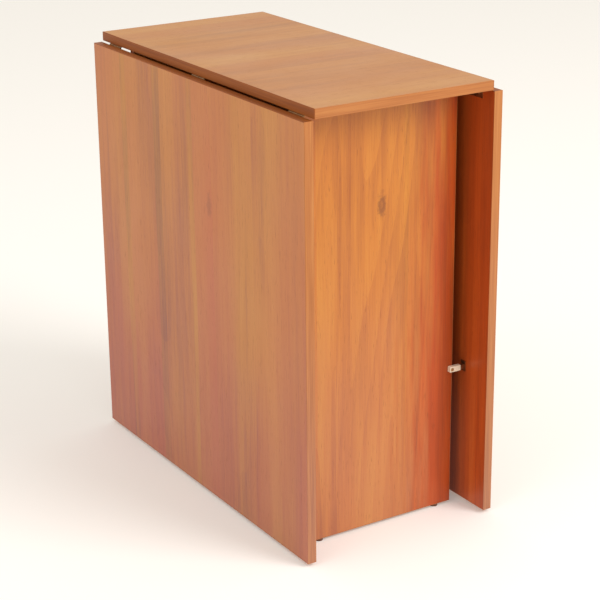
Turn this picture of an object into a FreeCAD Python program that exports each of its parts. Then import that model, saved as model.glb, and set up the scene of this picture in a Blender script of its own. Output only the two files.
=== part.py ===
"""Drop-leaf gateleg table of laminated board: a narrow carcass, a fixed top, two long
leaves on butt hinges and two gates that swing out under them. Millimetres, +Z up.

X runs across the narrow top, Y along the hinge lines and Z up. The origin is on the
floor, below the middle of the table. The table is drawn closed, with both leaves
hanging and both gates folded against the centre panel.
"""

import FreeCAD, Part

import os

import Sketcher

from FreeCAD import Rotation, Vector

SHEET = "Dimensions"
DIMENSIONS = {
    # the closed table and its boards
    "table_height": 750.0,
    "table_length": 700.0,
    "top_width": 332.0,
    "board": 16.0,
    "edging": 0.8,
    "seam": 0.5,
    "leaf_floor_gap": 6.0,
    # the carcass
    "panel_width": 290.0,
    "end_recess": 65.0,
    "centre_bottom": 75.0,
    "glide_height": 5.0,
    "glide_radius": 9.0,
    "glide_tread_radius": 6.75,
    "glide_board_margin": 0.5,
    "glide_inset": 28.0,
    "dowel_radius": 4.0,
    "dowel_length": 24.0,
    "dowel_slack": 0.05,
    "dowel_shift": 3.0,
    "dowel_edge_inset": 30.0,
    "dowel_end_inset": 60.0,
    # butt hinges, for the leaves and for the gates
    "hinge_length": 40.0,
    "hinge_width": 17.0,
    "hinge_plate": 1.2,
    "hinge_drop": 1.8,
    "knuckle_radius": 1.6,
    "knuckle_gap": 0.3,
    "pin_radius": 0.8,
    "pin_slack": 0.05,
    "pin_cap_height": 0.6,
    "pin_cap_radius": 1.3,
    "pin_cap_gap": 0.05,
    "screw_radius": 1.5,
    "screw_length": 13.0,
    "screw_head_radius": 3.0,
    "screw_head_height": 1.1,
    "screw_slack": 0.05,
    "screw_slot_length": 3.9,
    "screw_slot_width": 0.75,
    "screw_slot_depth": 0.66,
    "screw_pitch": 24.0,
    "leaf_hinge_inset": 50.0,
    # the gates
    "gate_length": 508.0,
    "gate_top_gap": 5.0,
    "gate_member": 70.0,
    "gate_stop_gap": 0.5,
    "gate_end_overhang": 0.4,
    "gate_hinge_low": 200.0,
    "gate_hinge_high": 610.0,
    "rest_pad_gap": 0.3,
    "rest_pad_length": 40.0,
    "rest_pad_margin": 2.0,
    # magnetic catch and keeper of each leaf
    "catch_height": 250.0,
    "catch_length": 22.0,
    "catch_width": 10.0,
    "catch_depth": 7.0,
    "catch_inset": 9.0,
    "catch_rounding": 1.0,
    "keeper_plate": 1.2,
    "keeper_gap": 0.4,
    "keeper_foot_width": 12.0,
    "keeper_foot_height": 18.0,
    "keeper_tab_width": 5.0,
    "keeper_tab_height": 8.0,
    "keeper_tab_inset": 1.0,
}

# how far a cutter runs past the face that it opens
OVERCUT = 1.0

os.makedirs("parts", exist_ok=True)
doc = FreeCAD.newDocument("GatelegTable")
sheet = doc.addObject("Spreadsheet::Sheet", SHEET)
for row, (alias, value) in enumerate(DIMENSIONS.items(), start=1):
    sheet.set(f"A{row}", alias)
    sheet.set(f"B{row}", str(value))
    sheet.setAlias(f"B{row}", alias)
doc.recompute()

subparts = {}


def cell(alias):
    """A spreadsheet cell, as it is written in an expression."""
    return f"{SHEET}.{alias}"


def size(alias):
    """A spreadsheet cell's number."""
    return float(getattr(sheet, alias))


def keep(thing, label):
    """Names a finished sub-part, which is exported under its label."""
    thing.Label = label
    subparts[label] = thing
    return thing


def place(thing, corner):
    """Binds a thing's position to three expressions."""
    for axis, expression in zip("xyz", corner):
        thing.setExpression(f"Placement.Base.{axis}", expression)


# --- boards ---------------------------------------------------------------------------


def rectangle(body, name, width, depth):
    """A sketch on the body's XY plane: a rectangle from the origin, bound to the sheet."""
    sketch = body.newObject("Sketcher::SketchObject", name)
    plane = [f for f in body.Origin.OriginFeatures if f.Role == "XY_Plane"][0]
    sketch.AttachmentSupport = [(plane, "")]
    sketch.MapMode = "FlatFace"
    corners = [Vector(0, 0), Vector(10, 0), Vector(10, 10), Vector(0, 10)]
    for start, end in zip(corners, corners[1:] + corners[:1]):
        sketch.addGeometry(Part.LineSegment(start, end))
    constrain = Sketcher.Constraint
    for side in range(4):
        sketch.addConstraint(constrain("Coincident", side, 2, (side + 1) % 4, 1))
    sketch.addConstraint(constrain("Horizontal", 0))
    sketch.addConstraint(constrain("Horizontal", 2))
    sketch.addConstraint(constrain("Vertical", 1))
    sketch.addConstraint(constrain("Vertical", 3))
    sketch.addConstraint(constrain("Coincident", 0, 1, -1, 1))
    for side, label, length in ((0, "width", width), (1, "depth", depth)):
        index = sketch.addConstraint(constrain("Distance", side, 10.0))
        sketch.renameConstraint(index, label)
        sketch.setExpression(f"Constraints.{label}", length)
    return sketch


def board(name, corner, sides):
    """A rectangular board: a sketched rectangle padded upwards, all bound to the sheet."""
    body = doc.addObject("PartDesign::Body", name)
    sketch = rectangle(body, name + "_outline", sides[0], sides[1])
    pad = body.newObject("PartDesign::Pad", name + "_pad")
    pad.Profile = sketch
    pad.setExpression("Length", sides[2])
    sketch.Visibility = False
    place(body, corner)
    return body


def strip(name, corner, sides):
    """A plain block, used for edging strips and small fittings."""
    block = doc.addObject("Part::Box", name)
    for prop, expression in zip(("Length", "Width", "Height"), sides):
        block.setExpression(prop, expression)
    place(block, corner)
    return block


def group(name, things):
    """Several separate solids that share one node."""
    compound = doc.addObject("Part::Compound", name)
    compound.Links = things
    return compound


def edged_board(name, thin, corner, sides, bare=None):
    """A board with edging strips glued to its edges. thin is the axis through the board,
    and bare is the (axis, end) of an edge that has no strip."""
    band = cell("edging")
    across, along = [axis for axis in range(3) if axis != thin]
    ends = [(axis, end) for axis in (across, along) for end in (0, 1)]
    ends = [e for e in ends if e != bare]
    core_corner, core_sides = list(corner), list(sides)
    for axis, end in ends:
        core_sides[axis] += f" - {band}"
        if end == 0:
            core_corner[axis] += f" + {band}"
    strips = []
    for axis, end in ends:
        at, extent = list(corner), list(sides)
        other = along if axis == across else across
        if axis == along:
            at[other], extent[other] = core_corner[other], core_sides[other]
        if end == 1:
            at[axis] = f"{corner[axis]} + {sides[axis]} - {band}"
        extent[axis] = band
        strips.append(strip(f"{name}_strip_{axis}{end}", at, extent))
    keep(group(name + "_edging_strips", strips), name + "_edging")
    return board(name + "_core", core_corner, core_sides)


def rod(name, radius, length, at, along):
    """A round bar from at, towards the unit vector along."""
    bar = doc.addObject("Part::Cylinder", name)
    bar.setExpression("Radius", radius)
    bar.setExpression("Height", length)
    bar.Placement = FreeCAD.Placement(at, Rotation(Vector(0, 0, 1), along))
    return bar


def drilled(name, blank, cutters):
    """A blank less its holes, as one boolean."""
    cut = doc.addObject("Part::Cut", name)
    cut.Base = blank
    cut.Tool = cutters[0] if len(cutters) == 1 else group(name + "_holes", cutters)
    return cut


def fixed_shape(label, shapes):
    """A node whose separate solids are copies of a drawn master, at places from the sheet."""
    feature = doc.addObject("Part::Feature", label + "_set")
    feature.Shape = Part.makeCompound(shapes)
    return keep(feature, label)


# --- dowelled carcass -----------------------------------------------------------------

HALF_TOP = size("top_width") / 2
HALF_LENGTH = size("table_length") / 2
UNDERSIDE = size("table_height") - size("board")
PANEL_FACE = HALF_LENGTH - size("end_recess")
PANEL_BACK = PANEL_FACE - size("board")
GATE_AXIS_Y = PANEL_BACK - size("gate_stop_gap") - size("board") - size("hinge_drop")

underside = f"({cell('table_height')} - {cell('board')})"
panel_back = f"({cell('table_length')} / 2 - {cell('end_recess')} - {cell('board')})"


def dowel_set(name, places):
    """Dowels, and the slightly larger holes for them, at (centre point, direction)."""
    radius, length, slack = cell("dowel_radius"), cell("dowel_length"), cell("dowel_slack")
    dowels, holes = [], []
    for number, (centre, along) in enumerate(places):
        start = centre - along * (size("dowel_length") / 2)
        deeper = start - along * size("dowel_slack")
        dowels.append(rod(f"{name}_{number}", radius, length, start, along))
        wide, long = f"{radius} + {slack}", f"{length} + 2 * {slack}"
        holes.append(rod(f"{name}_hole_{number}", wide, long, deeper, along))
    return dowels, holes


def carcass_dowel_places():
    """Where dowels join the top to the panels, and the centre panel to the end panels. A
    dowel sits deeper in the board that it enters from the edge."""
    up, ahead = Vector(0, 0, 1), Vector(0, 1, 0)
    shift, end_inset = size("dowel_shift"), size("dowel_end_inset")
    panel_middle = PANEL_FACE - size("board") / 2
    out = size("panel_width") / 2 - size("dowel_edge_inset")
    level = UNDERSIDE - shift
    top = [Vector(x, y, level) for x in (-out, out) for y in (-panel_middle, panel_middle)]
    top += [Vector(0, y, level) for y in (-panel_middle / 2, panel_middle / 2)]
    low, high = size("centre_bottom") + end_inset, UNDERSIDE - end_inset
    levels = [low, (low + high) / 2, high]
    inwards = PANEL_BACK - shift
    ends = [Vector(0, y, z) for y in (-inwards, inwards) for z in levels]
    return [(p, up) for p in top], [(p, ahead) for p in ends]


def make_carcass():
    """The top, two end panels and the centre panel, with their dowels and floor glides."""
    thick, recess = cell("board"), cell("end_recess")
    top_places, end_places = carcass_dowel_places()
    top_dowels, top_holes = dowel_set("top_dowel", top_places)
    end_dowels, end_holes = dowel_set("end_dowel", end_places)
    keep(group("all_carcass_dowels", top_dowels + end_dowels), "carcass_dowels")

    top = edged_board(
        "top_panel",
        2,
        (f"-{cell('top_width')} / 2", f"-{cell('table_length')} / 2", underside),
        (cell("top_width"), cell("table_length"), thick),
    )
    keep(drilled("top_panel_drilled", top, top_holes), "top_panel")

    for side, back in (("front", False), ("rear", True)):
        y = panel_back if back else f"-{panel_back} - {thick}"
        panel = edged_board(
            f"end_panel_{side}",
            1,
            (f"-{cell('panel_width')} / 2", y, cell("glide_height")),
            (cell("panel_width"), thick, f"{underside} - {cell('glide_height')}"),
            bare=(2, 1),
        )
        keep(
            drilled(f"end_panel_{side}_drilled", panel, _near(top_holes + end_holes, back)),
            f"end_panel_{side}",
        )

    centre = board(
        "centre_core",
        (f"-{thick} / 2", f"-{panel_back}", cell("centre_bottom")),
        (thick, f"2 * {panel_back}", f"{underside} - {cell('centre_bottom')}"),
    )
    inner = [h for h in top_holes if abs(h.Placement.Base.x) < 1] + end_holes
    keep(drilled("centre_drilled", centre, inner), "centre_panel")

    feet = []
    inset = size("panel_width") / 2 - size("glide_inset")
    for x in (-inset, inset):
        for y in (-PANEL_FACE + size("board") / 2, PANEL_FACE - size("board") / 2):
            feet.append(glide(f"floor_glide_{len(feet)}", Vector(x, y, 0)))
    keep(group("all_floor_glides", feet), "floor_glides")


def _near(holes, back):
    """The holes that enter one end panel: off-centre top holes and end holes on its side."""
    sign = 1 if back else -1
    return [h for h in holes if h.Placement.Base.y * sign > PANEL_BACK - size("dowel_length")]


def glide(name, at):
    """A turned plastic foot: a disc with a narrower, tapered tread."""
    cone = doc.addObject("Part::Cone", name)
    widest = f"{cell('board')} / 2 - {cell('glide_board_margin')}"
    cone.setExpression("Radius1", cell("glide_tread_radius"))
    cone.setExpression("Radius2", f"min({cell('glide_radius')}; {widest})")
    cone.setExpression("Height", cell("glide_height"))
    cone.Placement.Base = at
    return cone


# --- butt hinges ----------------------------------------------------------------------


def hinge_leaf(name, outer):
    """Half of a butt hinge, drawn flat: its barrel runs along Y through the origin, and its
    plate lies on the -X side, its upper face hinge_drop above the barrel's axis. outer
    gives it the two end knuckles, otherwise it has the middle one."""
    length, plate = size("hinge_length"), size("hinge_plate")
    segment, gap = length / 3, size("knuckle_gap")
    top_face, reach = size("hinge_drop"), size("hinge_width")
    clear = size("knuckle_radius") + 2 * gap
    low = top_face - plate
    spans = [(-length / 2, -segment / 2 - gap / 2), (segment / 2 + gap / 2, length / 2)]
    if not outer:
        spans = [(-segment / 2 + gap / 2, segment / 2 - gap / 2)]
    shape = Part.makeBox(reach - clear, length, plate, Vector(-reach, -length / 2, low))
    for start, end in spans:
        lug = Part.makeBox(clear, end - start, plate, Vector(-clear, start, low))
        knuckle = Part.makeCylinder(
            size("knuckle_radius"), end - start, Vector(0, start, 0), Vector(0, 1, 0)
        )
        shape = shape.fuse([lug, knuckle])
    bore_radius = size("pin_radius") + size("pin_slack")
    bore_start = Vector(0, -length / 2 - OVERCUT, 0)
    bore = Part.makeCylinder(bore_radius, length + 2 * OVERCUT, bore_start, Vector(0, 1, 0))
    shape = shape.cut(bore)
    for at in screw_places():
        shape = shape.cut(countersink(at))
    feature = doc.addObject("Part::Feature", name)
    feature.Shape = shape.removeSplitter()
    return feature


def screw_places():
    """Where a hinge leaf's screws enter it, on the face away from the board."""
    x = -(size("hinge_width") + size("knuckle_radius")) / 2
    z = size("hinge_drop") - size("hinge_plate")
    return [Vector(x, y * size("screw_pitch") / 2, z) for y in (-1, 1)]


def countersink(at):
    """The cutter of one countersunk hole through a hinge plate."""
    return screw_hole(at, Vector(0, 0, 1), size("hinge_plate"))


def screw_hole(at, along, depth):
    """The cutter of a countersunk screw hole, a little wider than the screw all round."""
    shaft_radius = size("screw_radius") + size("screw_slack")
    head_radius = size("screw_head_radius") + size("screw_slack")
    shaft = Part.makeCylinder(shaft_radius, depth + OVERCUT, at, along)
    head = Part.makeCone(head_radius, shaft_radius, size("screw_head_height"), at, along)
    return shaft.fuse(head)


def wood_screw(name):
    """A countersunk screw with a pointed shank and a cross slot, head down at the origin."""
    head, shank = size("screw_head_radius"), size("screw_radius")
    height, length = size("screw_head_height"), size("screw_length")
    outline = [
        Vector(0, 0, 0),
        Vector(head, 0, 0),
        Vector(shank, 0, height),
        Vector(shank, 0, length - 2 * shank),
        Vector(0, 0, length),
    ]
    face = Part.Face(Part.makePolygon(outline + outline[:1]))
    shape = face.revolve(Vector(0, 0, 0), Vector(0, 0, 1), 360)
    slot = size("screw_slot_length"), size("screw_slot_width")
    for x, y in (slot, slot[::-1]):
        corner = Vector(-x / 2, -y / 2, -OVERCUT)
        shape = shape.cut(Part.makeBox(x, y, size("screw_slot_depth") + OVERCUT, corner))
    feature = doc.addObject("Part::Feature", name)
    feature.Shape = shape
    return feature


def hinge_pin(name):
    """A hinge pin with a low domed head at each end of the barrel."""
    radius, cap_radius = size("pin_radius"), size("pin_cap_radius")
    reach = size("hinge_length") / 2 + size("pin_cap_gap")
    pin = Part.makeCylinder(radius, 2 * reach, Vector(0, -reach, 0), Vector(0, 1, 0))
    for sign in (-1, 1):
        end, out = Vector(0, sign * reach, 0), Vector(0, sign, 0)
        pin = pin.fuse(Part.makeCone(cap_radius, radius, size("pin_cap_height"), end, out))
    feature = doc.addObject("Part::Feature", name)
    feature.Shape = pin.removeSplitter()
    return feature


def hinge_frame(at, axis, towards, up):
    """The place of a hinge drawn flat: at is a point on its axis, towards points from the
    axis over the plate, and up from the axis to the board that the plate is screwed to."""
    x, y, z = -towards, axis, up
    if x.cross(y).dot(z) < 0:
        y = -y
    matrix = FreeCAD.Matrix(
        x.x, y.x, z.x, at.x, x.y, y.y, z.y, at.y, x.z, y.z, z.z, at.z, 0, 0, 0, 1
    )
    return FreeCAD.Placement(matrix)


def placed(master, frame):
    """A copy of a master's shape, moved to a frame."""
    shape = master.Shape.copy()
    shape.Placement = frame.multiply(shape.Placement)
    return shape


def screws_in(master, frame):
    """The screws of one hinge leaf."""
    return [
        placed(master, frame.multiply(FreeCAD.Placement(at, Rotation())))
        for at in screw_places()
    ]


def hinge_row(names, frames_fixed, frames_moving, masters):
    """A row of hinges as five nodes: plates, pins and screws of the fixed side, and plates
    and screws of the moving side."""
    fixed, moving, pin, screw = masters
    plates, pins, screws, moving_plates, moving_screws = names
    fixed_shape(plates, [placed(fixed, f) for f in frames_fixed])
    fixed_shape(pins, [placed(pin, f) for f in frames_fixed])
    fixed_shape(screws, [s for f in frames_fixed for s in screws_in(screw, f)])
    fixed_shape(moving_plates, [placed(moving, f) for f in frames_moving])
    fixed_shape(moving_screws, [s for f in frames_moving for s in screws_in(screw, f)])


# --- leaves ---------------------------------------------------------------------------


def make_leaf(side, sign, masters):
    """One hanging leaf with its edging, and the three hinges that join it to the top."""
    drop, seam, thick = cell("hinge_drop"), cell("seam"), cell("board")
    face = f"({cell('top_width')} / 2 + {seam} / 2 + {drop})"
    left = face if sign > 0 else f"-{face} - {thick}"
    top_edge = f"({underside} - {drop} - {seam} / 2)"
    panel = edged_board(
        f"leaf_{side}",
        0,
        (left, f"-{cell('table_length')} / 2", cell("leaf_floor_gap")),
        (thick, cell("table_length"), f"{top_edge} - {cell('leaf_floor_gap')}"),
    )
    keep(panel, f"leaf_{side}")

    axis_x = sign * (HALF_TOP + size("seam") / 2)
    axis_z = UNDERSIDE - size("hinge_drop")
    spread = HALF_LENGTH - size("leaf_hinge_inset")
    centres = [Vector(axis_x, y, axis_z) for y in (-spread, 0, spread)]
    ahead, up, out = Vector(0, 1, 0), Vector(0, 0, 1), Vector(sign, 0, 0)
    hinge_row(
        (
            f"leaf_hinge_plates_top_{side}",
            f"leaf_hinge_pins_{side}",
            f"leaf_hinge_screws_top_{side}",
            f"leaf_{side}_hinge_plates",
            f"leaf_{side}_hinge_screws",
        ),
        [hinge_frame(c, ahead, -out, up) for c in centres],
        [hinge_frame(c, ahead, -up, out) for c in centres],
        masters,
    )


# --- gates ----------------------------------------------------------------------------


def make_gate(side, sign, masters):
    """One gate, folded against the centre panel: a hinge stile, two rails and a leg, with
    its two hinges, floor glide and rest pad. The two gates are half a turn apart."""
    thick, member, drop = cell("board"), cell("gate_member"), cell("hinge_drop")
    axis_y = f"({panel_back} - {cell('gate_stop_gap')} - {thick} - {drop})"
    inner_face = f"({thick} / 2 + 2 * {drop})"
    hinge_end = f"({axis_y} + {cell('gate_end_overhang')})"
    leg_end = f"({axis_y} - {cell('gate_length')})"
    bottom = cell("centre_bottom")
    top = f"({underside} - {cell('gate_top_gap')})"

    def span_corner(low, high):
        """The lower end of a span, on this gate's side of the middle."""
        return low if sign > 0 else f"-({high})"

    def member_at(name, y_span, z_span, cutters):
        """A gate board between two distances along Y and two heights, drilled for dowels."""
        (y_low, y_high), (z_low, z_high) = y_span, z_span
        blank = board(
            f"gate_{side}_{name}_core",
            (
                span_corner(inner_face, f"{inner_face} + {thick}"),
                span_corner(y_low, y_high),
                z_low,
            ),
            (thick, f"{y_high} - {y_low}", f"{z_high} - {z_low}"),
        )
        keep(drilled(f"gate_{side}_{name}_drilled", blank, cutters), f"gate_{side}_{name}")

    dowels, holes = dowel_set(f"gate_{side}_dowel", gate_dowel_places(sign))
    keep(group(f"gate_{side}_all_dowels", dowels), f"gate_{side}_dowels")
    stile_side = f"({hinge_end} - {member})"
    leg_side = f"({leg_end} + {member})"
    low_rail, high_rail = f"({bottom} + {member})", f"({top} - {member})"
    member_at("hinge_stile", (stile_side, hinge_end), (bottom, top), holes[:4])
    member_at("leg", (leg_end, leg_side), (cell("glide_height"), top), holes[4:])
    member_at("lower_rail", (leg_side, stile_side), (bottom, low_rail), holes[0:2] + holes[4:6])
    member_at("upper_rail", (leg_side, stile_side), (high_rail, top), holes[2:4] + holes[6:8])

    middle = sign * (size("board") + 2 * size("hinge_drop"))
    leg_middle = sign * (GATE_AXIS_Y - size("gate_length") + size("gate_member") / 2)
    keep(glide(f"gate_{side}_foot", Vector(middle, leg_middle, 0)), f"gate_{side}_glide")
    pad_low = f"({leg_end} + ({member} - {cell('rest_pad_length')}) / 2)"
    pad_high = f"({pad_low} + {cell('rest_pad_length')})"
    margin = cell("rest_pad_margin")
    pad = strip(
        f"gate_{side}_pad",
        (
            span_corner(f"{inner_face} + {margin}", f"{inner_face} + {thick} - {margin}"),
            span_corner(pad_low, pad_high),
            top,
        ),
        (
            f"{thick} - 2 * {margin}",
            cell("rest_pad_length"),
            f"{cell('gate_top_gap')} - {cell('rest_pad_gap')}",
        ),
    )
    keep(pad, f"gate_{side}_rest_pad")

    axis = Vector(sign * (size("board") / 2 + size("hinge_drop")), sign * GATE_AXIS_Y, 0)
    heights = (size("gate_hinge_low"), size("gate_hinge_high"))
    centres = [axis + Vector(0, 0, z) for z in heights]
    up, out, along = Vector(0, 0, 1), Vector(sign, 0, 0), Vector(0, -sign, 0)
    hinge_row(
        (
            f"gate_hinge_plates_centre_{side}",
            f"gate_hinge_pins_{side}",
            f"gate_hinge_screws_centre_{side}",
            f"gate_{side}_hinge_plates",
            f"gate_{side}_hinge_screws",
        ),
        [hinge_frame(c, up, along, -out) for c in centres],
        [hinge_frame(c, up, along, out) for c in centres],
        masters,
    )


def gate_dowel_places(sign):
    """Dowels across the joints of a gate's rails: four at the hinge stile, then four at the
    leg, two in each rail."""
    member, bottom = size("gate_member"), size("centre_bottom")
    top = UNDERSIDE - size("gate_top_gap")
    middle = sign * (size("board") + 2 * size("hinge_drop"))
    stile_side = GATE_AXIS_Y + size("gate_end_overhang") - member
    leg_side = GATE_AXIS_Y - size("gate_length") + member
    quarter = member / 4
    levels = [bottom + quarter, bottom + 3 * quarter, top - 3 * quarter, top - quarter]
    return [
        (Vector(middle, sign * y, z), Vector(0, 1, 0))
        for y in (stile_side, leg_side)
        for z in levels
    ]


# --- magnetic catches -----------------------------------------------------------------


def catch_block(screw_at):
    """The right leaf's catch block: rounded on its outer edges, with a screw hole."""
    depth, wide, long = size("catch_depth"), size("catch_width"), size("catch_length")
    start = size("panel_width") / 2 - size("catch_inset")
    outer_y = -PANEL_FACE - depth
    corner = Vector(start, outer_y, size("catch_height") - wide / 2)
    block = Part.makeBox(long, depth, wide, corner)
    rounded = [
        edge
        for edge in block.Edges
        if abs(edge.tangentAt(0).y) > 0.9 or edge.CenterOfMass.y < outer_y + depth / 4
    ]
    block = block.makeFillet(size("catch_rounding"), rounded)
    return block.cut(screw_hole(screw_at, Vector(0, 1, 0), depth))


def catch_keeper():
    """The right leaf's keeper: a small foot on the leaf and a tab that meets the catch."""
    leaf_face = HALF_TOP + size("seam") / 2 + size("hinge_drop")
    plate, level = size("keeper_plate"), size("catch_height")
    front = -PANEL_FACE - size("catch_depth")
    wide, high = size("keeper_foot_width"), size("keeper_foot_height")
    foot = Part.makeBox(plate, wide, high, Vector(leaf_face - plate, front, level - high / 2))
    block_end = size("panel_width") / 2 - size("catch_inset") + size("catch_length")
    start = block_end + size("keeper_gap")
    wide, high = size("keeper_tab_width"), size("keeper_tab_height")
    corner = Vector(start, front + size("keeper_tab_inset"), level - high / 2)
    tab = Part.makeBox(leaf_face - start, wide, high, corner)
    return foot.fuse(tab).removeSplitter()


def make_catches(screw_master):
    """Pale catch blocks on the front panel's outer face, and a steel keeper on each leaf."""
    screw_at = Vector(
        size("panel_width") / 2 - size("catch_inset") / 2,
        -PANEL_FACE - size("catch_depth"),
        size("catch_height"),
    )
    into_panel = Rotation(Vector(0, 0, 1), Vector(0, 1, 0))
    blocks, screws = [], []
    for side, sign in (("left", -1), ("right", 1)):
        block, keeper = catch_block(screw_at), catch_keeper()
        if sign < 0:
            block = block.mirror(Vector(0, 0, 0), Vector(1, 0, 0))
            keeper = keeper.mirror(Vector(0, 0, 0), Vector(1, 0, 0))
        blocks.append(block)
        fixed_shape(f"leaf_{side}_keeper", [keeper])
        here = Vector(sign * screw_at.x, screw_at.y, screw_at.z)
        screws.append(placed(screw_master, FreeCAD.Placement(here, into_panel)))
    fixed_shape("catch_blocks", blocks)
    fixed_shape("catch_screws", screws)


make_carcass()
screw_master = wood_screw("screw_master")
hinge_masters = (
    hinge_leaf("hinge_outer_master", True),
    hinge_leaf("hinge_middle_master", False),
    hinge_pin("hinge_pin_master"),
    screw_master,
)
for side, sign in (("left", -1), ("right", 1)):
    make_leaf(side, sign, hinge_masters)
    make_gate(side, sign, hinge_masters)
make_catches(screw_master)
doc.recompute()

failed = [o.Label for o in doc.Objects if {"Invalid", "Error"} & set(o.State)]
if failed:
    raise RuntimeError(f"these objects did not build: {failed}")
for label, thing in subparts.items():
    if thing.Shape.isNull() or not thing.Shape.isValid() or not thing.Shape.Solids:
        raise RuntimeError(f"{label} has no valid solid")
for label, thing in subparts.items():
    thing.Shape.exportStep(f"parts/{label}.step")
print(len(subparts), "sub-parts written")
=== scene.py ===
"""Looks of the folded gateleg table: laminate, edge banding, hinges, catches, light and camera.

Metres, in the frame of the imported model: X across the narrow top, Y along the hinge lines, Z up.
"""

import math

import bmesh
import bpy
from mathutils import Matrix, Vector


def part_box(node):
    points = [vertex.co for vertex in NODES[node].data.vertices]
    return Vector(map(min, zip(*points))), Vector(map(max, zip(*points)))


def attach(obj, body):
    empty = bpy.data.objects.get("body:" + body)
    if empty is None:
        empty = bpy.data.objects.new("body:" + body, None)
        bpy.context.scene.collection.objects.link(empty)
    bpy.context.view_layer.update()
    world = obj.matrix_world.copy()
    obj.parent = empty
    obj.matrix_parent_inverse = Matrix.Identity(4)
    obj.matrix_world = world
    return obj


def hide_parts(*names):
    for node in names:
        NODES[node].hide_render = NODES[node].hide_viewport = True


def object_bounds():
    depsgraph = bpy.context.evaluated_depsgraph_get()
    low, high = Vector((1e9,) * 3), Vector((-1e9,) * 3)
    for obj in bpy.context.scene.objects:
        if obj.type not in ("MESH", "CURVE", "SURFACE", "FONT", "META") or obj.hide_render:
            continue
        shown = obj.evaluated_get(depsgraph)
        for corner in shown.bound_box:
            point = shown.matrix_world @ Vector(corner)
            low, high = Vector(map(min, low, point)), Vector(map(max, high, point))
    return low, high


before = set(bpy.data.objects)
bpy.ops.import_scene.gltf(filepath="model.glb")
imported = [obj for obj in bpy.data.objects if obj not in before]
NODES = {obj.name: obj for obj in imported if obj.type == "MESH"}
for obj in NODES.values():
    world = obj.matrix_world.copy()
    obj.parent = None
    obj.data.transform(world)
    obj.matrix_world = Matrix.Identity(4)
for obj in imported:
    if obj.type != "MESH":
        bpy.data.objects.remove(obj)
cad_low, cad_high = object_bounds()

# ------------------------------------------------------------------ node helpers


class Shader:
    """One material and short calls that add and link its nodes."""

    def __init__(self, name):
        self.material = bpy.data.materials.new(name)
        self.material.use_nodes = True
        self.tree = self.material.node_tree
        self.tree.nodes.clear()
        self.surface = self.add("ShaderNodeBsdfPrincipled")
        output = self.add("ShaderNodeOutputMaterial")
        self.link(self.surface.outputs[0], output.inputs[0])

    def add(self, kind, **settings):
        node = self.tree.nodes.new(kind)
        for key, value in settings.items():
            setattr(node, key, value)
        return node

    def link(self, source, target):
        if isinstance(source, bpy.types.NodeSocket):
            self.tree.links.new(source, target)
        else:
            target.default_value = source

    def math(self, operation, *values, clamp=False):
        node = self.add("ShaderNodeMath", operation=operation, use_clamp=clamp)
        for value, socket in zip(values, node.inputs):
            self.link(value, socket)
        return node.outputs[0]

    def vector_math(self, operation, *values):
        node = self.add("ShaderNodeVectorMath", operation=operation)
        for value, socket in zip(values, node.inputs):
            self.link(value, socket)
        return node.outputs[0]

    def scale(self, vector, factor):
        node = self.add("ShaderNodeVectorMath", operation="SCALE")
        self.link(vector, node.inputs[0])
        self.link(factor, node.inputs["Scale"])
        return node.outputs[0]

    def place(self):
        """The point in the object's own space, which is the rest frame, in metres."""
        return self.add("ShaderNodeTexCoord").outputs["Object"]

    def noise(self, vector, scale, detail=2.0, roughness=0.5, output="Fac"):
        """Noise from 0 to 1; scale is how many features it has in a metre."""
        node = self.add("ShaderNodeTexNoise")
        self.link(vector, node.inputs["Vector"])
        node.inputs["Scale"].default_value = scale
        node.inputs["Detail"].default_value = detail
        node.inputs["Roughness"].default_value = roughness
        return node.outputs[output]

    def remap(self, value, low, high, to_low=0.0, to_high=1.0, smooth=False):
        node = self.add("ShaderNodeMapRange")
        node.interpolation_type = "SMOOTHSTEP" if smooth else "LINEAR"
        for number, item in enumerate((value, low, high, to_low, to_high)):
            self.link(item, node.inputs[number])
        return node.outputs[0]

    def ramp(self, value, stops):
        node = self.add("ShaderNodeValToRGB")
        elements = node.color_ramp.elements
        while len(elements) < len(stops):
            elements.new(0.5)
        for element, (position, colour) in zip(elements, stops):
            element.position = position
            element.color = colour
        self.link(value, node.inputs[0])
        return node.outputs[0]

    def blend(self, factor, first, second, mode="MIX"):
        node = self.add("ShaderNodeMix", data_type="RGBA", blend_type=mode)
        self.link(factor, node.inputs[0])
        self.link(first, node.inputs[6])
        self.link(second, node.inputs[7])
        return node.outputs[2]

    def bump(self, height, distance, strength):
        node = self.add("ShaderNodeBump")
        node.inputs["Strength"].default_value = strength
        node.inputs["Distance"].default_value = distance
        self.link(height, node.inputs["Height"])
        self.link(node.outputs[0], self.surface.inputs["Normal"])

    def set(self, **values):
        """Sets the shader's own sockets; a name's underscores stand for spaces."""
        for key, value in values.items():
            self.link(value, self.surface.inputs[key.replace("_", " ")])


def srgb(red, green, blue):
    """A display colour, 0 to 255, as the linear colour that shaders take."""
    linear = [
        c / 12.92 if c <= 0.04045 else ((c + 0.055) / 1.055) ** 2.4
        for c in (red / 255, green / 255, blue / 255)
    ]
    return (*linear, 1.0)


def shade(colour, factor):
    """A linear colour made darker or lighter."""
    return (*(min(1.0, c * factor) for c in colour[:3]), 1.0)


# ------------------------------------------------------------------ wood-grain laminate

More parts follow.
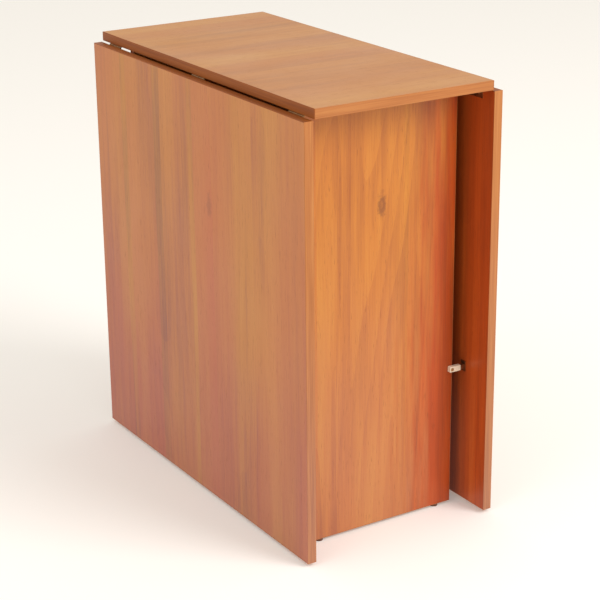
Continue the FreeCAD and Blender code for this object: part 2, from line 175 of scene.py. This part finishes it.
# The three tone families are one cherry print: the panels' orange, the leaves' paler, pinker and
# the top's more golden tones are partly the print's own spread and partly painted sheen and shade
# from how each board faces the light.
# The painted reflection of the pale floor is what a print gains, in linear colour, towards an
# upright board's lower end.
CHERRY = {
    "dark": srgb(150, 82, 26),
    "middle": srgb(192, 119, 35),
    "light": srgb(208, 142, 50),
    "red": srgb(188, 98, 38),
    "pore": srgb(106, 50, 18),
    "floor_reflection": (-0.045, -0.003, 0.038),
}
ROSE = {
    "dark": srgb(144, 86, 54),
    "middle": srgb(187, 121, 49),
    "light": srgb(202, 142, 60),
    "red": srgb(184, 97, 60),
    "pore": srgb(100, 54, 32),
    "floor_reflection": (-0.06, -0.03, 0.024),
}
GOLDEN = {
    "dark": srgb(157, 98, 43),
    "middle": srgb(184, 120, 49),
    "light": srgb(196, 138, 64),
    "red": srgb(178, 105, 49),
    "pore": srgb(118, 70, 32),
}
# The red strip's colour: red core wood in the print, made darker as painted shade of the right
# leaf.
HEART_AND_SHADE = srgb(165, 61, 3)
# Redder, darker tones for the leaves' inner faces: partly a back print of their own, partly
# painted shade.
BACKING_AND_SHADE = {
    "dark": srgb(140, 56, 20),
    "middle": srgb(188, 84, 28),
    "light": srgb(208, 108, 44),
    "red": srgb(180, 74, 28),
}
BANDING = {
    "dark": srgb(150, 88, 44),
    "middle": srgb(174, 107, 55),
    "light": srgb(190, 127, 70),
    "floor_reflection": (-0.015, 0.018, 0.045),
}
# Banding darkened as painted shade, for the edges in the gaps at the hinges.
PAINTED_SHADE_BANDING = {
    "dark": srgb(118, 58, 14),
    "middle": srgb(144, 74, 18),
    "light": srgb(162, 90, 28),
}
AXES = {"X": 0, "Y": 1, "Z": 2}

# depths of relief for bump, in metres
PORE_DEPTH = 0.00004
BRUSHING_DEPTH = 0.00003
MOULD_GRAIN_DEPTH = 0.00005
BEECH_GRAIN_DEPTH = 0.0001
FELT_DEPTH = 0.0004


def stretched(shader, place, along, stretch):
    """place, drawn out along the grain, so that noise made from it turns into streaks."""
    factors = [1.0, 1.0, 1.0]
    factors[AXES[along]] = 1.0 / stretch
    return shader.vector_math("MULTIPLY", place, factors)


def grain_noise(shader, place, along, stretch, scale, **settings):
    """Noise in streaks along the grain, stretch times as long as they are wide."""
    return shader.noise(stretched(shader, place, along, stretch), scale, **settings)


def around_knot(shader, place, along, middle, radius, darkness):
    """The grain's coordinates, parted round a knot, and how dark the knot is, up to darkness."""
    squash, parting = 0.4, -1.3
    offset = shader.vector_math("SUBTRACT", place, middle)
    shape = [1 / radius] * 3
    shape[AXES[along]] = squash / radius
    reach = shader.add("ShaderNodeVectorMath", operation="LENGTH")
    shader.link(shader.vector_math("MULTIPLY", offset, shape), reach.inputs[0])
    reach = shader.math("ADD", reach.outputs["Value"], shader.noise(place, scale=160, detail=2))
    near = shader.math("EXPONENT", shader.math("MULTIPLY", reach, -1.0))
    parted = shader.scale(offset, shader.math("MULTIPLY", near, parting))
    inside = shader.remap(reach, 0.5, 0.75, 0.6 * darkness, darkness, smooth=True)
    outside = shader.remap(reach, 0.85, 1.5, 1.0, 0.0, smooth=True)
    return shader.vector_math("ADD", place, parted), shader.math("MULTIPLY", inside, outside)


def wood_pattern(shader, place, along, figured):
    """The printed grain: how light it is and how red it is, and its pores, all from 0 to 1."""
    wander_reach, planks_per_metre, ring_count, contrast = 0.022, 19.0, 15.0, 0.31
    wander = grain_noise(shader, place, along, stretch=5, scale=2.2, detail=2, output="Color")
    wander = shader.vector_math("SUBTRACT", wander, (0.5, 0.5, 0.5))
    place = shader.vector_math("ADD", place, shader.scale(wander, wander_reach))

    # planks of the print, a few centimetres wide, told apart by small steps of tone and hue
    planks = shader.add("ShaderNodeTexVoronoi")
    planks.inputs["Scale"].default_value = planks_per_metre
    shader.link(stretched(shader, place, along, 400), planks.inputs["Vector"])
    step = shader.add("ShaderNodeSeparateColor")
    shader.link(planks.outputs["Color"], step.inputs[0])

    figure = grain_noise(shader, place, along, stretch=11, scale=6.5, detail=1.2)
    rings = shader.math("FRACT", shader.math("MULTIPLY", figure, ring_count))
    rings = shader.remap(rings, 0.0, 0.82, 0.0, 1.0, smooth=True)
    bands = grain_noise(shader, place, along, stretch=7, scale=11, detail=2.5)
    streaks = grain_noise(shader, place, along, stretch=26, scale=95, detail=3, roughness=0.6)
    fibres = grain_noise(shader, place, along, stretch=50, scale=620, detail=2, roughness=0.6)

    total = shader.math("MULTIPLY", rings, figured)
    layers = ((step.outputs[0], 0.14), (bands, 0.85), (streaks, 0.4), (fibres, 0.3))
    for layer, share in layers:
        total = shader.math("ADD", total, shader.math("MULTIPLY", layer, share))
    middle = (figured + sum(share for _, share in layers)) / 2
    tone = shader.remap(total, middle - contrast, middle + contrast)

    hue = grain_noise(shader, place, along, stretch=8, scale=8, detail=2)
    hue = shader.math("ADD", hue, shader.math("MULTIPLY", step.outputs[1], 0.3))
    pores = grain_noise(shader, place, along, stretch=22, scale=1150, detail=1, roughness=0.4)
    return tone, shader.remap(hue, 0.45, 0.95), shader.remap(pores, 0.66, 0.74)


def heartwood_and_shade(shader, place, along, across, start, end, lean):
    """How far the print turns into its darker red strip, from start to end across the grain: red
    core wood in the print, and painted shade cast by the leaf beside it.

    lean is how far that border moves across the grain for each metre along it."""
    sway_width, streak_width, full = 0.12, 0.16, 0.96
    sway = grain_noise(shader, place, along, stretch=3, scale=5, detail=2)
    sway = shader.math("MULTIPLY", shader.math("SUBTRACT", sway, 0.5), sway_width)
    streaks = grain_noise(shader, place, along, stretch=16, scale=60, detail=3, roughness=0.6)
    streaks = shader.math("MULTIPLY", shader.math("SUBTRACT", streaks, 0.5), streak_width)
    axes = shader.add("ShaderNodeSeparateXYZ")
    shader.link(place, axes.inputs[0])
    leaning = shader.math("MULTIPLY", axes.outputs[AXES[along]], lean)
    at = shader.math("ADD", axes.outputs[AXES[across]], shader.math("ADD", sway, streaks))
    return shader.remap(shader.math("ADD", at, leaning), start, end, 0.0, full, smooth=True)


def lower_end(shader, place):
    """1 towards the floor end of an upright board, 0 at its upper end: the mask of the painted
    floor reflection.
    """
    reflection_top, floor, sway_height = 0.58, 0.0, 0.5
    axes = shader.add("ShaderNodeSeparateXYZ")
    shader.link(place, axes.inputs[0])
    sway = grain_noise(shader, place, "Z", stretch=3, scale=7, detail=2)
    sway = shader.math("MULTIPLY", shader.math("SUBTRACT", sway, 0.5), sway_height)
    height = shader.math("ADD", axes.outputs[2], sway)
    return shader.remap(height, reflection_top, floor, smooth=True)


def faces(shader, axis, sign):
    """1 on the faces that point along an axis, in the board's own space."""
    normal = shader.add("ShaderNodeSeparateXYZ")
    shader.link(shader.add("ShaderNodeTexCoord").outputs["Normal"], normal.inputs[0])
    outward = shader.math("MULTIPLY", normal.outputs[AXES[axis]], sign)
    return shader.math("GREATER_THAN", outward, 0.5)


def print_colour(shader, tone, hue, redness, tones):
    """The print's colour in one family of tones."""
    stops = [(0.0, tones["dark"]), (0.5, tones["middle"]), (1.0, tones["light"])]
    colour = shader.ramp(tone, stops)
    return shader.blend(shader.math("MULTIPLY", hue, redness), colour, tones["red"])


def laminate(
    name, along, tones, offset, figured=0.05, redness=0.5, knot=None, heart_and_shade=None, backing_and_shade=None
):
    """Satin melamine laminate printed with cherry grain, with faint pressed-in pores.

    figured is the strength of the growth rings. knot is a knot's middle, radius and darkness.
    heart is the axis, start, end and lean of the darker red strip: red core wood in the print and
    painted shade in one. backing is the axis and sign of the face with a redder, darker print:
    partly a back print of its own and partly painted shade, as that face is turned from the light."""
    shader = Shader(name)
    place = shader.place()
    lower = lower_end(shader, place) if "floor_reflection" in tones else None
    if knot:
        place, eye = around_knot(shader, place, along, *knot)
    red = heartwood_and_shade(shader, place, along, *heart_and_shade) if heart_and_shade else None
    place = shader.vector_math("ADD", place, offset)
    tone, hue, pores = wood_pattern(shader, place, along, figured)
    colour = print_colour(shader, tone, hue, redness, tones)
    # painted reflection of the pale floor, growing towards the board's lower end
    if lower:
        colour = shader.vector_math("ADD", colour, shader.scale(tones["floor_reflection"], lower))
    # the face turned from the light gets a redder, darker print: partly its own back print, partly
    # painted shade
    if backing_and_shade:
        back = print_colour(shader, tone, hue, redness, BACKING_AND_SHADE)
        colour = shader.blend(faces(shader, *backing_and_shade), colour, back)
    # the red strip: core wood in the print and painted shade of the leaf beside it
    if heart_and_shade:
        stops = [(0.0, shade(HEART_AND_SHADE, 0.45)), (0.5, HEART_AND_SHADE), (1.0, shade(HEART_AND_SHADE, 1.45))]
        colour = shader.blend(red, colour, shader.ramp(tone, stops))
    colour = shader.blend(shader.math("MULTIPLY", pores, 0.4), colour, tones["pore"])
    if knot:
        colour = shader.blend(eye, colour, tones["pore"])
    shader.set(Base_Color=colour, IOR=1.48)
    wear = shader.noise(shader.place(), scale=5.5, detail=4, roughness=0.6)
    gloss = shader.remap(wear, 0.3, 0.7, 0.33, 0.43)
    shader.set(Roughness=shader.math("ADD", gloss, shader.math("MULTIPLY", pores, 0.12)))
    shader.bump(shader.math("SUBTRACT", tone, pores), PORE_DEPTH, 0.35)
    return shader.material


def banding(name, along, tones, offset):
    """Edge banding: a plainer print than the boards', with its grain along the strip."""
    shader = Shader(name)
    upright = along == "Z" and "floor_reflection" in tones
    lower = lower_end(shader, shader.place()) if upright else None
    place = shader.vector_math("ADD", shader.place(), offset)
    fine = grain_noise(shader, place, along, stretch=60, scale=420, detail=3, roughness=0.6)
    broad = grain_noise(shader, place, along, stretch=40, scale=60, detail=2)
    fine = shader.math("MULTIPLY", fine, 0.6)
    grain = shader.math("ADD", fine, shader.math("MULTIPLY", broad, 0.4))
    stops = [(0.3, tones["dark"]), (0.5, tones["middle"]), (0.7, tones["light"])]
    colour = shader.ramp(grain, stops)
    # painted reflection of the pale floor, growing towards the strip's lower end
    if lower:
        colour = shader.vector_math("ADD", colour, shader.scale(tones["floor_reflection"], lower))
    shader.set(Base_Color=colour, Roughness=0.48, Specular_IOR_Level=0.3)
    shader.bump(grain, PORE_DEPTH, 0.3)
    return shader.material


# ------------------------------------------------------------------ small materials


def plated_steel(name, colour, roughness):
    """Pressed steel, plated or lacquered: fine brushing under a cloudy coat."""
    shader = Shader(name)
    place = shader.place()
    cloud = shader.noise(place, scale=190, detail=3, roughness=0.6)
    brushing = grain_noise(shader, place, "Y", stretch=25, scale=2600, detail=2, roughness=0.5)
    stops = [(0.3, shade(colour, 0.72)), (0.62, colour)]
    shader.set(Base_Color=shader.ramp(cloud, stops), Metallic=1.0)
    texture = shader.math("ADD", cloud, brushing)
    shader.set(Roughness=shader.remap(texture, 0.7, 1.3, roughness - 0.08, roughness + 0.1))
    shader.bump(brushing, BRUSHING_DEPTH, 0.5)
    return shader.material


def moulded_plastic(name, colour, roughness):
    """Injection-moulded plastic with a fine spark-eroded grain."""
    shader = Shader(name)
    place = shader.place()
    grain = shader.noise(place, scale=3200, detail=2, roughness=0.5)
    mottle = shader.noise(place, scale=160, detail=3, roughness=0.5)
    shader.set(Base_Color=shader.ramp(mottle, [(0.3, shade(colour, 0.82)), (0.7, colour)]))
    shader.set(Roughness=shader.remap(grain, 0.3, 0.7, roughness - 0.06, roughness + 0.08))
    shader.bump(grain, MOULD_GRAIN_DEPTH, 0.6)
    return shader.material


def felt(name, colour):
    """Pressed felt: matted fibres in every direction."""
    shader = Shader(name)
    place = shader.place()
    fibres = shader.noise(place, scale=1700, detail=4, roughness=0.75)
    clumps = shader.noise(place, scale=260, detail=3, roughness=0.6)
    depth = shader.math("ADD", fibres, shader.math("MULTIPLY", clumps, 0.6))
    stops = [(0.35, shade(colour, 0.45)), (0.75, colour), (1.0, shade(colour, 1.7))]
    shader.set(Base_Color=shader.ramp(depth, stops), Roughness=0.95, Sheen_Weight=0.4)
    shader.bump(depth, FELT_DEPTH, 0.8)
    return shader.material


def beech(name):
    """Raw turned beech with its short flecks."""
    shader = Shader(name)
    place = shader.place()
    grain = grain_noise(shader, place, "Z", stretch=12, scale=900, detail=3, roughness=0.6)
    pale, deep = srgb(224, 190, 144), srgb(186, 142, 96)
    shader.set(Base_Color=shader.ramp(grain, [(0.3, deep), (0.65, pale)]), Roughness=0.7)
    shader.bump(grain, BEECH_GRAIN_DEPTH, 0.5)
    return shader.material


# ------------------------------------------------------------------ dressing the CAD nodes


# radii of rounded edges and the reach of a weld, in metres
BOARD_EDGE = 0.00025
BANDING_EDGE = 0.0006
MOULDED_EDGE = 0.0004
PAD_EDGE = 0.0012
WELD_REACH = 1e-6

# edges that turn by more than these are bevelled on a CAD node, or kept sharp on a strip
BEVEL_ANGLE = math.radians(40)
SHARP_ANGLE = math.radians(35)


def soften(node, width, segments=2):
    """Rounds a CAD node's hard edges with modifiers; its own mesh stays as it is."""
    thing = NODES[node]
    weld = thing.modifiers.new("weld", "WELD")
    weld.merge_threshold = WELD_REACH
    bevel = thing.modifiers.new("soft_edges", "BEVEL")
    bevel.width = width
    bevel.segments = segments
    bevel.limit_method = "ANGLE"
    bevel.angle_limit = BEVEL_ANGLE
    normals = thing.modifiers.new("flat_faces", "WEIGHTED_NORMAL")
    normals.weight = 100


def dress(node, material):
    """Puts a material on a CAD node."""
    thing = NODES[node]
    thing.data.materials.clear()
    thing.data.materials.append(material)


# each board's grain direction, tones, and what is particular in its stretch of the print
BOARDS = {
    "top_panel": ("X", GOLDEN, {}),
    "leaf_left": (
        "Z",
        ROSE,
        {"redness": 0.85, "knot": ((-0.185, -0.056, 0.531), 0.01, 0.3), "backing_and_shade": ("X", 1)},
    ),
    "leaf_right": ("Z", ROSE, {"redness": 0.4, "backing_and_shade": ("X", -1)}),
    "end_panel_front": (
        "Z",
        CHERRY,
        {
            "figured": 0.1,
            "knot": ((0.0, -0.285, 0.559), 0.011, 0.62),
            # red core wood in the print and painted shade of the right leaf, along the panel's
            # edge beside it
            "heart_and_shade": ("X", 0.01, 0.125, -0.06),
        },
    ),
    "end_panel_rear": ("Z", CHERRY, {"figured": 0.1}),
    "centre_panel": ("Z", CHERRY, {"figured": 0.1}),
}
for side in ("left", "right"):
    BOARDS[f"gate_{side}_hinge_stile"] = ("Z", CHERRY, {})
    BOARDS[f"gate_{side}_leg"] = ("Z", CHERRY, {})
    BOARDS[f"gate_{side}_upper_rail"] = ("Y", CHERRY, {})
    BOARDS[f"gate_{side}_lower_rail"] = ("Y", CHERRY, {})

# how far apart two boards' prints start, in metres, so that every board's grain is its own
PRINT_STEP = (1.7, 2.3, 1.1)

for number, (node, (along, tones, detail)) in enumerate(BOARDS.items()):
    offset = tuple(step * number for step in PRINT_STEP)
    dress(node, laminate(f"laminate_{node}", along, tones, offset, **detail))
    soften(node, BOARD_EDGE)


def strip_mesh(name, low, high, thin, outward, sign):
    """A strip of banding that fills the box from low to high, its two outer long edges rounded.

    thin is the axis across the board's thickness. outward is the axis that the strip faces along,
    and sign says which way."""
    arc_steps = 4
    length = 3 - thin - outward
    inner, outer = (low, high) if sign > 0 else (high, low)
    profile = [(low[thin], inner[outward]), (high[thin], inner[outward])]
    for edge, turn in ((high[thin], 1), (low[thin], -1)):
        for step in range(arc_steps + 1):
            angle = math.pi / 2 * (step if turn > 0 else arc_steps - step) / arc_steps
            reach = BANDING_EDGE * (1 - math.cos(angle)), BANDING_EDGE * (1 - math.sin(angle))
            profile.append((edge - turn * reach[0], outer[outward] - sign * reach[1]))
    shape = bmesh.new()
    rings = []
    for end in (low[length], high[length]):
        ring = []
        for across, out in profile:
            point = [0.0, 0.0, 0.0]
            point[thin], point[outward], point[length] = across, out, end
            ring.append(shape.verts.new(point))
        rings.append(ring)
        shape.faces.new(ring)
    for here in range(len(profile)):
        there = (here + 1) % len(profile)
        shape.faces.new((rings[0][here], rings[0][there], rings[1][there], rings[1][here]))
    bmesh.ops.recalc_face_normals(shape, faces=shape.faces)
    mesh = bpy.data.meshes.new(name)
    shape.to_mesh(mesh)
    shape.free()
    mesh.shade_smooth()
    mesh.set_sharp_from_angle(angle=SHARP_ANGLE)
    return mesh


def edge_strips(board, body, tones):
    """Strips of banding round one board, each a piece of its own, in place of the CAD edging.

    tones holds the tones of the strips that differ: "xa" is the one at the low end of X."""
    node = f"{board}_edging"
    low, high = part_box(node)
    core_low, core_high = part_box(board)
    growth = [core_low[axis] - low[axis] + high[axis] - core_high[axis] for axis in range(3)]
    thin = growth.index(min(growth))
    across = min(axis for axis in range(3) if axis != thin)
    for outward in (axis for axis in range(3) if axis != thin):
        for sign, ends in ((-1, (low, core_low)), (1, (core_high, high))):
            if ends[1][outward] - ends[0][outward] < BANDING_EDGE / 2:
                continue
            corner, far = low.copy(), high.copy()
            if outward != across:
                corner[across], far[across] = core_low[across], core_high[across]
            corner[outward], far[outward] = ends[0][outward], ends[1][outward]
            along = "XYZ"[3 - thin - outward]
            edge = "xyz"[outward] + "ab"[sign > 0]
            name = f"{board}_banding_{edge}"
            strip = bpy.data.objects.new(name, strip_mesh(name, corner, far, thin, outward, sign))
            bpy.context.scene.collection.objects.link(strip)
            offset = (0.9 * outward + sign, 1.9 * thin, 0.4 * sign + 2.2 * outward)
            tone = tones.get(edge, BANDING)
            strip.data.materials.append(banding(f"{name}_print", along, tone, offset))
            normals = strip.modifiers.new("flat_faces", "WEIGHTED_NORMAL")
            normals.keep_sharp = True
            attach(strip, body)
            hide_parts(node)


# the banding along the hinges is darker: painted shade of the gaps at the hinges
edge_strips("top_panel", "carcass", {"xa": PAINTED_SHADE_BANDING, "xb": PAINTED_SHADE_BANDING})
edge_strips("end_panel_front", "carcass", {})
edge_strips("end_panel_rear", "carcass", {})
edge_strips("leaf_left", "leaf_left", {"zb": PAINTED_SHADE_BANDING})
edge_strips("leaf_right", "leaf_right", {"zb": PAINTED_SHADE_BANDING})

steel = plated_steel("bronze_lacquer", srgb(158, 116, 78), 0.42)
keeper_steel = plated_steel("keeper_lacquer", srgb(150, 96, 62), 0.55)
screw_steel = plated_steel("yellow_zinc", srgb(214, 190, 138), 0.3)
brown_plastic = moulded_plastic("brown_plastic", srgb(104, 62, 42), 0.45)
cream_plastic = moulded_plastic("cream_plastic", srgb(240, 222, 196), 0.38)
wool = felt("brown_felt", srgb(96, 74, 58))
dowel_wood = beech("beech")

for node in NODES:
    if node in BOARDS or node.endswith("_edging"):
        continue
    if "dowel" in node:
        dress(node, dowel_wood)
    elif "glide" in node:
        dress(node, brown_plastic)
        soften(node, MOULDED_EDGE, 3)
    elif "rest_pad" in node:
        dress(node, wool)
        soften(node, PAD_EDGE, 4)
    elif node == "catch_blocks":
        dress(node, cream_plastic)
        soften(node, MOULDED_EDGE, 3)
    elif "keeper" in node:
        dress(node, keeper_steel)
    elif "screws" in node:
        dress(node, screw_steel)
    else:
        dress(node, steel)

# ------------------------------------------------------------------ studio

FLOOR_REACH = 14.0
WARM_LIGHT = (1.0, 0.965, 0.905)
COOL_LIGHT = (0.88, 0.94, 1.0)
SKY_STRENGTH = 0.82


def pale_floor():
    """A matt, pale floor that glows a little, as a lit sweep does, and is clear from below."""
    shader = Shader("pale_floor")
    shader.set(Base_Color=srgb(234, 231, 226), Roughness=0.9, Specular_IOR_Level=0.1)
    shader.set(Emission_Color=srgb(255, 252, 248), Emission_Strength=0.17)
    output = shader.surface.outputs[0].links[0].to_socket
    mix = shader.add("ShaderNodeMixShader")
    shader.link(shader.add("ShaderNodeNewGeometry").outputs["Backfacing"], mix.inputs[0])
    shader.link(shader.surface.outputs[0], mix.inputs[1])
    shader.link(shader.add("ShaderNodeBsdfTransparent").outputs[0], mix.inputs[2])
    shader.link(mix.outputs[0], output)
    return shader.material


def make_floor():
    """A square of floor, wide enough to pass out of every view."""
    mesh = bpy.data.meshes.new("floor")
    quadrants = ((-1, -1), (1, -1), (1, 1), (-1, 1))
    corners = [(x * FLOOR_REACH, y * FLOOR_REACH, 0) for x, y in quadrants]
    mesh.from_pydata(corners, [], [(0, 1, 2, 3)])
    floor = bpy.data.objects.new("floor", mesh)
    bpy.context.scene.collection.objects.link(floor)
    mesh.materials.append(pale_floor())


def area_light(name, place, aim, size, power, colour=(1.0, 1.0, 1.0)):
    """A round lamp, size metres wide, that faces aim."""
    lamp = bpy.data.lights.new(name, "AREA")
    lamp.shape = "DISK"
    lamp.size = size
    lamp.energy = power
    lamp.color = colour
    thing = bpy.data.objects.new(name, lamp)
    thing.location = place
    thing.rotation_euler = (Vector(aim) - Vector(place)).to_track_quat("-Z", "Y").to_euler()
    bpy.context.scene.collection.objects.link(thing)


def make_world():
    """Even, warm light from all round."""
    world = bpy.data.worlds.new("studio")
    world.use_nodes = True
    background = world.node_tree.nodes["Background"]
    background.inputs[0].default_value = (*WARM_LIGHT, 1.0)
    background.inputs[1].default_value = SKY_STRENGTH
    bpy.context.scene.world = world


make_floor()
make_world()
centre = (cad_low + cad_high) / 2
area_light("key", place=(2.1, -3.9, 3.5), aim=centre, size=3.0, power=178)
area_light(
    "fill", place=(-3.4, -0.6, 3.4), aim=centre, size=3.2, power=34, colour=COOL_LIGHT
)
bpy.context.scene.view_settings.view_transform = "Standard"

# ------------------------------------------------------------------ camera

SENSOR = 36.0
LENS = 106.6
AZIMUTH = math.radians(-31.94)
ELEVATION = math.radians(19.82)
ROLL = math.radians(-0.58)
DISTANCE = 3.09
AIM = centre + Vector((0.007, -0.027, -0.054))


def make_camera():
    """Looks down at the table from the front left."""
    data = bpy.data.cameras.new("camera")
    data.lens = LENS
    data.sensor_width = SENSOR
    camera = bpy.data.objects.new("camera", data)
    back = Vector(
        (
            math.sin(AZIMUTH) * math.cos(ELEVATION),
            -math.cos(AZIMUTH) * math.cos(ELEVATION),
            math.sin(ELEVATION),
        )
    )
    turn = (-back).to_track_quat("-Z", "Y").to_matrix().to_4x4()
    place = Matrix.Translation(AIM + back * DISTANCE)
    camera.matrix_world = place @ turn @ Matrix.Rotation(ROLL, 4, "Z")
    bpy.context.scene.collection.objects.link(camera)
    bpy.context.scene.camera = camera


make_camera()
